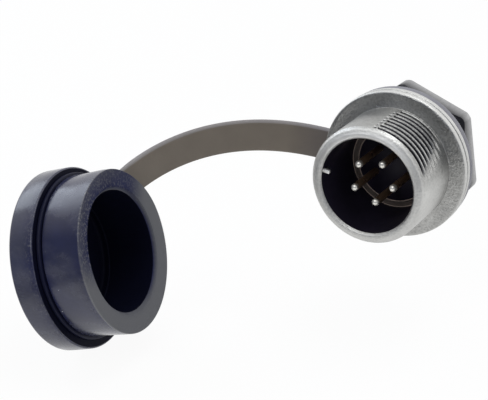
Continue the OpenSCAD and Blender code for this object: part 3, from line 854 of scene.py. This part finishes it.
class RC_OT_hardware(bpy.types.Operator):
    """Hex nut, toothed washer, gasket and the small rear rings"""
    bl_idname = "receptacle.hardware"
    bl_label = "Panel hardware"

    def execute(self, context):
        f = context.scene.rc_finish
        h = context.scene.rc_hardware
        af, t, y0 = in_mm(h, "nut_af", "nut_t", "nut_y")
        corner = af / 2 / math.cos(math.radians(30))
        face = af / 2 - 0.25
        nut = self.nut_blank(corner, t, y0, h.nut_turn)
        over, wide = 0.6, corner + 0.8
        slope = math.tan(math.radians(30))
        trim = turned("nut_trim", [
            (0, y0 - over), (face - over / slope, y0 - over), (wide, y0 + (wide - face) * slope),
            (wide, y0 + t - 0.9), (corner, y0 + t - 0.35), (corner - 0.65, y0 + t + over),
            (0, y0 + t + over)],
            steps=180, closed=False)
        cut_with(nut, trim, "INTERSECT")
        bore = context.scene.rc_shell.rear_r / MM + 0.05
        mouth = bore + 0.45
        hole = turned("nut_hole", [
            (0, y0 - 0.5), (mouth, y0 - 0.5), (mouth, y0), (bore, y0 + 0.45),
            (bore, y0 + t - 0.45), (mouth, y0 + t), (mouth, y0 + t + 0.5), (0, y0 + t + 0.5)],
            steps=180, closed=False)
        cut_with(nut, hole)
        shade(nut, 26)
        # painted shade on the nut's front chamfer
        paint(nut, "shade_and_highlight", lambda x, y, z:
              NUT_CHAMFER_SHADE if y < y0 + 0.95 and math.hypot(x, z) > face - 0.05 else 0.0)
        mat = plated_metal("satin_nickel_nut", tuple(f.nut), 0.30, 0.02, shade_and_highlight=True, fine=3800.0)
        dress(nut, mat, "nut", ("hex_nut",))

        steel = plated_metal("plated_spring_steel", tuple(f.steel), 0.32, 0.005)
        rubber = moulded("black_gasket_rubber", tuple(f.rubber), 0.55, 0.01, 1.8, dust=0.03)
        plastic = moulded("black_clamp_plastic", tuple(f.insert), 0.42, 0.008, 2.2)
        for node, mat in (("lock_washer", steel), ("snap_ring", steel), ("gasket", rubber),
                          ("insert_seal", rubber), ("clamp_disc", plastic)):
            coat(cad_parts[node], mat)
        return {"FINISHED"}

    @staticmethod
    def nut_blank(corner, t, y0, tightened):
        """A hexagon with soft corners, turned to where the nut was tightened."""
        clear_selection()
        bpy.ops.mesh.primitive_cylinder_add(vertices=6, radius=corner * MM, depth=t * MM)
        nut = named("hex_nut_body")
        place(nut, Matrix.Translation((0, (y0 + t / 2) * MM, 0)) @ Matrix.Rotation(PI / 2, 4, "X")
              @ Matrix.Rotation(PI / 6, 4, "Z"))
        if max(abs(v.co.x) for v in nut.data.vertices) < max(abs(v.co.z) for v in nut.data.vertices):
            place(nut, about_axis(30))
        place(nut, about_axis(math.degrees(tightened)))
        bpy.ops.object.mode_set(mode="EDIT")
        bpy.ops.mesh.select_mode(type="EDGE")
        bpy.ops.mesh.select_all(action="DESELECT")
        bpy.ops.object.mode_set(mode="OBJECT")
        for e in nut.data.edges:
            a, b = (nut.data.vertices[i].co for i in e.vertices)
            e.select = abs(a.y - b.y) > t * MM * 0.9
        bpy.ops.object.mode_set(mode="EDIT")
        bpy.ops.mesh.bevel(offset=NUT_CORNER * MM, segments=6, affect="EDGES")
        bpy.ops.mesh.select_mode(type="VERT")
        bpy.ops.object.mode_set(mode="OBJECT")
        return nut


class RC_OT_strap(bpy.types.Operator):
    """One moulded strap with a ring at the flange and a loop round the cap"""
    bl_idname = "receptacle.strap"
    bl_label = "Strap"

    def execute(self, context):
        st = context.scene.rc_strap
        cp = context.scene.rc_cap
        f = context.scene.rc_finish
        cap_frame = cap_matrix(cp)
        tilt = cap_frame.to_3x3()
        centre = cap_frame.translation
        w, h = st.width / 2, st.thick / 2
        start = Vector((-(st.ring_r - 0.9 * MM), h, 0))
        out = tilt @ Vector((0, math.cos(st.tail), math.sin(st.tail)))
        up = tilt @ Vector((0, -math.sin(st.tail), math.cos(st.tail)))
        bend = [start, start + Vector((-st.reach, 0, st.rise)),
                centre + out * (st.loop_r + 2.2 * MM), centre + out * (st.loop_r - 0.3 * MM)]
        ribbon = self.ribbon(bend, up, w, h - 0.05 * MM, st.loop_t / 2)
        inner = context.scene.rc_shell.rear_r / MM + 0.05
        o, t = st.ring_r / MM, st.thick / MM
        ring = turned("strap_ring", rounded([
            (inner, 0.0, 0.1), (o, 0.0, 0.25), (o, t, 0.25), (inner, t, 0.1)], closed=True, steps=4),
            steps=120, smooth=50)
        n, lo, lt = cp.neck_r / MM + 0.05, st.loop_r / MM, st.loop_t / MM / 2
        loop = turned("strap_loop_ring", rounded([
            (n, -lt), (lo, -lt, 0.14), (lo - 0.04, lt, 0.14), (n, lt)], closed=True), steps=160, smooth=50)
        place(loop, cap_frame @ Matrix.Rotation(-PI / 2, 4, "Z"))
        # the ring takes the paler grey-purple tone, fading out where the ribbon joins it
        paint(ring, "ring", lambda x, y, z: 1 - 0.9 * soft_step(7.0, 9.0, -x))
        paint(ribbon, "shadow", lambda x, y, z: 0.36 * (1 - soft_step(10.5, 17.5, -x)))
        mat = moulded("strap_rubber", tuple(f.strap), 0.46, 0.012, 1.12, fine=1500.0, film=0.02,
                      tones=(("shadow", tuple(f.cap)), ("ring", tuple(f.strap_ring))))
        # painted shade: the loop in the cap's groove is a dark copy of the cap rubber, not the strap's own
        # colour
        loop_shade = moulded("strap_loop_shaded_rubber", toned(f.cap, 0.5), 0.40, 0.006, 1.3, gloss=0.12)
        coat(ribbon, mat)
        coat(ring, mat)
        coat(loop, loop_shade)
        strap = join([ribbon, ring, loop])
        strap.name = strap.data.name = "moulded_strap"
        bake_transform(strap)
        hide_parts("strap", "strap_loop")
        return {"FINISHED"}

    @staticmethod
    def ribbon(bend, up, w, h, thin):
        """A flat section with rounded edges, carried along the bend by extrusion."""
        fillet = STRAP_FILLET * MM
        section = rounded([(w, h, fillet), (-w, h, fillet), (-w, -h, fillet), (w, -h, fillet)],
                          closed=True, steps=5)
        clear_selection()
        bpy.ops.mesh.primitive_circle_add(vertices=len(section), radius=w, fill_type="NGON")
        piece = named("strap_ribbon")
        bpy.ops.object.mode_set(mode="EDIT")
        for _ in range(STRAP_STEPS):
            bpy.ops.mesh.extrude_region_move(TRANSFORM_OT_translate={"value": (0, 0, h)})
        bpy.ops.object.mode_set(mode="OBJECT")
        sheen_on_edge = []
        for k in range(STRAP_STEPS + 1):
            t = k / STRAP_STEPS
            u = 1 - t
            at = bend[0] * u ** 3 + bend[1] * 3 * u * u * t + bend[2] * 3 * u * t * t + bend[3] * t ** 3
            way = ((bend[1] - bend[0]) * u * u + (bend[2] - bend[1]) * 2 * u * t
                   + (bend[3] - bend[2]) * t * t).normalized()
            across = Vector((0, 0, 1)) * u + up * t
            across = (across - way * across.dot(way)).normalized()
            flat = way.cross(across)
            slim = 1 + (thin / h - 1) * min(1.0, max(0.0, (t - 0.7) / 0.2))
            for p in section:
                piece.data.vertices[len(sheen_on_edge)].co = at + across * p[0] + flat * p[1] * slim
                # painted sheen along the ribbon's upper edge
                sheen_on_edge.append(UPPER_EDGE_SHEEN if p[0] > w - 0.2 * MM else 0.0)
        write_layer(piece, "ring", sheen_on_edge)
        pick(piece)
        bpy.ops.object.mode_set(mode="EDIT")
        bpy.ops.mesh.select_all(action="SELECT")
        bpy.ops.mesh.normals_make_consistent(inside=False)
        bpy.ops.object.mode_set(mode="OBJECT")
        shade(piece, 40)
        return piece


def cap_matrix(cp):
    """The cap's own frame: x out of its mouth, origin at the centre of the strap's loop."""
    return (Matrix.Translation((-cp.side, -cp.front, -cp.below)) @ Matrix.Rotation(cp.yaw, 4, "Z")
            @ Matrix.Rotation(-cp.pitch, 4, "Y"))


class RC_OT_cap(bpy.types.Operator):
    """Moulded rubber dust cap"""
    bl_idname = "receptacle.cap"
    bl_label = "Dust cap"

    def execute(self, context):
        cp = context.scene.rc_cap
        f = context.scene.rc_finish
        g = cp.groove / MM / 2
        b, o, w, n, depth, flange_t = in_mm(
            cp, "bore_r", "barrel_r", "flange_r", "neck_r", "depth", "flange_t")
        m = cp.barrel / MM + g
        back, deep = -g - flange_t, m - depth
        points = [(b + 0.40, m + 0.04, 0.06), (o + 0.14, m + 0.2, 0.10), (o + 0.14, m - 0.05),
                  (o + 0.10, m - 1.2), (o, m - 3.0), (o - 0.05, g + 1.2), (o - 0.02, g, 0.15),
                  (n, g, 0.06), (n, -g, 0.06), (w - 0.15, -g, 0.20), (w - 0.15, -g - 1.6),
                  (w - 0.20, back, 0.40), (6.0, back), (5.6, back + 0.15, 0.1), (0, back + 0.15),
                  (0, deep), (5.0, deep), (b - 0.14, deep, 0.4), (b - 0.14, deep + 0.9, 0.04),
                  (b, deep + 0.98, 0.04), (b, m - 0.40, 0.10)]
        cap = turned("rubber_cap", rounded(points, steps=5), steps=192, smooth=36)
        self.settle(cap, g, o, b, m)
        paint(cap, "rubbed", lambda x, y, z: self.rubbed(x, y, z, w, m, g))
        # a pale bloom on the flange, and painted light under the barrel, on the mouth's lower right and on
        # its inner edge
        paint(cap, "bloom_and_light", lambda x, y, z: self.bloom_and_light(x, y, z, b, o, m, g))
        # painted highlight on one arc of the step in the cap's bore
        paint(cap, "lip_highlight", lambda x, y, z: 1.0 if deep + 0.87 < y < deep + 1.0 and x > 0.3 * b > z else 0.0)
        parts = []
        for face in cap.data.polygons:
            x, y, z = face.center / MM
            r = math.hypot(x, z)
            # the bore and the loop's groove get the darker, duller copy of the rubber, a painted shade
            bore = deep - 0.1 < y < m - 0.36 and r < b + 0.45
            groove = -g - 0.02 < y < g + 0.30 and r < w - 0.55
            cut_face = (y > m - 0.02 or y > m - 0.42 and r < b + 0.8) and r < o + 0.05
            parts.append(1 if bore or groove else 2 if cut_face else 0)
        place(cap, cap_matrix(cp) @ Matrix.Rotation(-PI / 2, 4, "Z"))
        marks = dict(rubbed=tuple(f.cap_rubbed), tones=(("bloom_and_light", tuple(f.cap_bloom_and_light)),))
        mat = moulded("cap_rubber", tuple(f.cap), 0.14, 0.005, 1.5, dust=0.03, ior=1.48, film=0.075, **marks)
        # painted shade: a darker, duller copy of the cap rubber for the bore and the groove
        inside = moulded("cap_shaded_recess_rubber", toned(f.cap, 0.26), 0.50, 0.006, 1.3, gloss=0.04,
                         tones=(("lip_highlight", BORE_LIP_HIGHLIGHT),))
        rim = moulded("cap_face_rubber", toned(f.cap, 1.2), 0.34, 0.008, 1.3, gloss=0.02, **marks)
        dress(cap, mat, "cap", ("dust_cap",))
        coat(cap, mat, inside, rim)
        for face, index in zip(cap.data.polygons, parts):
            face.material_index = index
        return {"FINISHED"}

    @staticmethod
    def settle(cap, g, o, b, m):
        """The soft flange hangs a little off centre, and the mouth is not quite round."""
        for v in cap.data.vertices:
            x, y, z = v.co / MM
            r = math.hypot(x, z)
            away = math.degrees(math.atan2(z, -x))
            if y < -g + 0.3 and r > o:
                v.co.z -= 0.20 * MM
            push = 0.0
            if y > m - 2.5 and r < b + 0.5:
                push = 0.38 * (1 - soft_step(0, 55, abs(away - 120))) * soft_step(m - 2.5, m - 0.3, y)
            elif y > m - 1.5 and r > o - 0.5:
                push = -0.30 * (1 - soft_step(0, 42, abs(away - 50))) * soft_step(m - 1.5, m - 0.1, y)
            v.co.x *= 1 + push / max(r, 1.0)
            v.co.z *= 1 + push / max(r, 1.0)

    @staticmethod
    def rubbed(x, y, z, w, m, g):
        """Crumbs on the cut mouth face, most on its upper left, and on the flange's front edge."""
        r, away = math.hypot(x, z), math.atan2(z, -x)
        if y > m - 0.02:
            return 0.45 + 0.55 * max(0.0, math.cos(away - 2.5))
        edge = abs(y + g) < 0.30 and r > w - 0.5
        return 0.45 * (0.6 + 0.4 * math.cos(away - 3.0)) if edge else 0.0

    @staticmethod
    def bloom_and_light(x, y, z, b, o, m, g):
        """Pale bloom on the flange, and painted light: under the barrel, on the mouth's lower right and on
        its inner edge.
        """
        r, away = math.hypot(x, z), math.atan2(z, -x)
        if y > m - 0.02:
            return 0.9 * soft_step(-0.60, -0.05, math.cos(away + 1.27)) + 0.35 * soft_step(o - 0.5, o, r)
        flange = 0.19 if y < -g - 0.3 and r > o else 0.0
        barrel = g + 0.4 < y < m - 0.1 and r > b + 1
        under = 0.17 * soft_step(0.2, 0.9, math.cos(away + 2.4)) if barrel else 0.0
        inner_edge = y > m - 0.45 and r < b + 0.85
        lip_highlight = 0.75 * soft_step(-0.85, -0.3, -math.cos(away + 0.26)) if inner_edge else 0.0
        return max(flange, under, lip_highlight)


STEPS = (RC_OT_stage, RC_OT_shell, RC_OT_insert, RC_OT_pins, RC_OT_hardware, RC_OT_strap, RC_OT_cap)


class RC_PT_panel(bpy.types.Panel):
    """Receptacle tools"""
    bl_idname = "RC_PT_panel"
    bl_label = "Receptacle"
    bl_space_type = "VIEW_3D"
    bl_region_type = "UI"
    bl_category = "Receptacle"

    def draw(self, context):
        for key, group in GROUPS:
            box = self.layout.box()
            box.label(text=group.__doc__)
            for prop in group.__annotations__:
                box.prop(getattr(context.scene, key), prop)
        self.layout.operator(RC_OT_effects.bl_idname)
        for step in STEPS:
            self.layout.operator(step.bl_idname)


CLASSES = tuple(g for _, g in GROUPS) + (RC_OT_effects,) + STEPS + (RC_PT_panel,)


def register():
    for cls in CLASSES:
        bpy.utils.register_class(cls)
    for key, group in GROUPS:
        setattr(bpy.types.Scene, key, bpy.props.PointerProperty(type=group))


def unregister():
    for key, _ in GROUPS:
        delattr(bpy.types.Scene, key)
    for cls in reversed(CLASSES):
        bpy.utils.unregister_class(cls)


def main():
    register()
    bpy.ops.receptacle.effects()
    bpy.ops.receptacle.stage()
    bpy.ops.receptacle.shell()
    bpy.ops.receptacle.insert()
    bpy.ops.receptacle.pins()
    bpy.ops.receptacle.hardware()
    bpy.ops.receptacle.strap()
    bpy.ops.receptacle.cap()


if __name__ == "__main__":
    main()
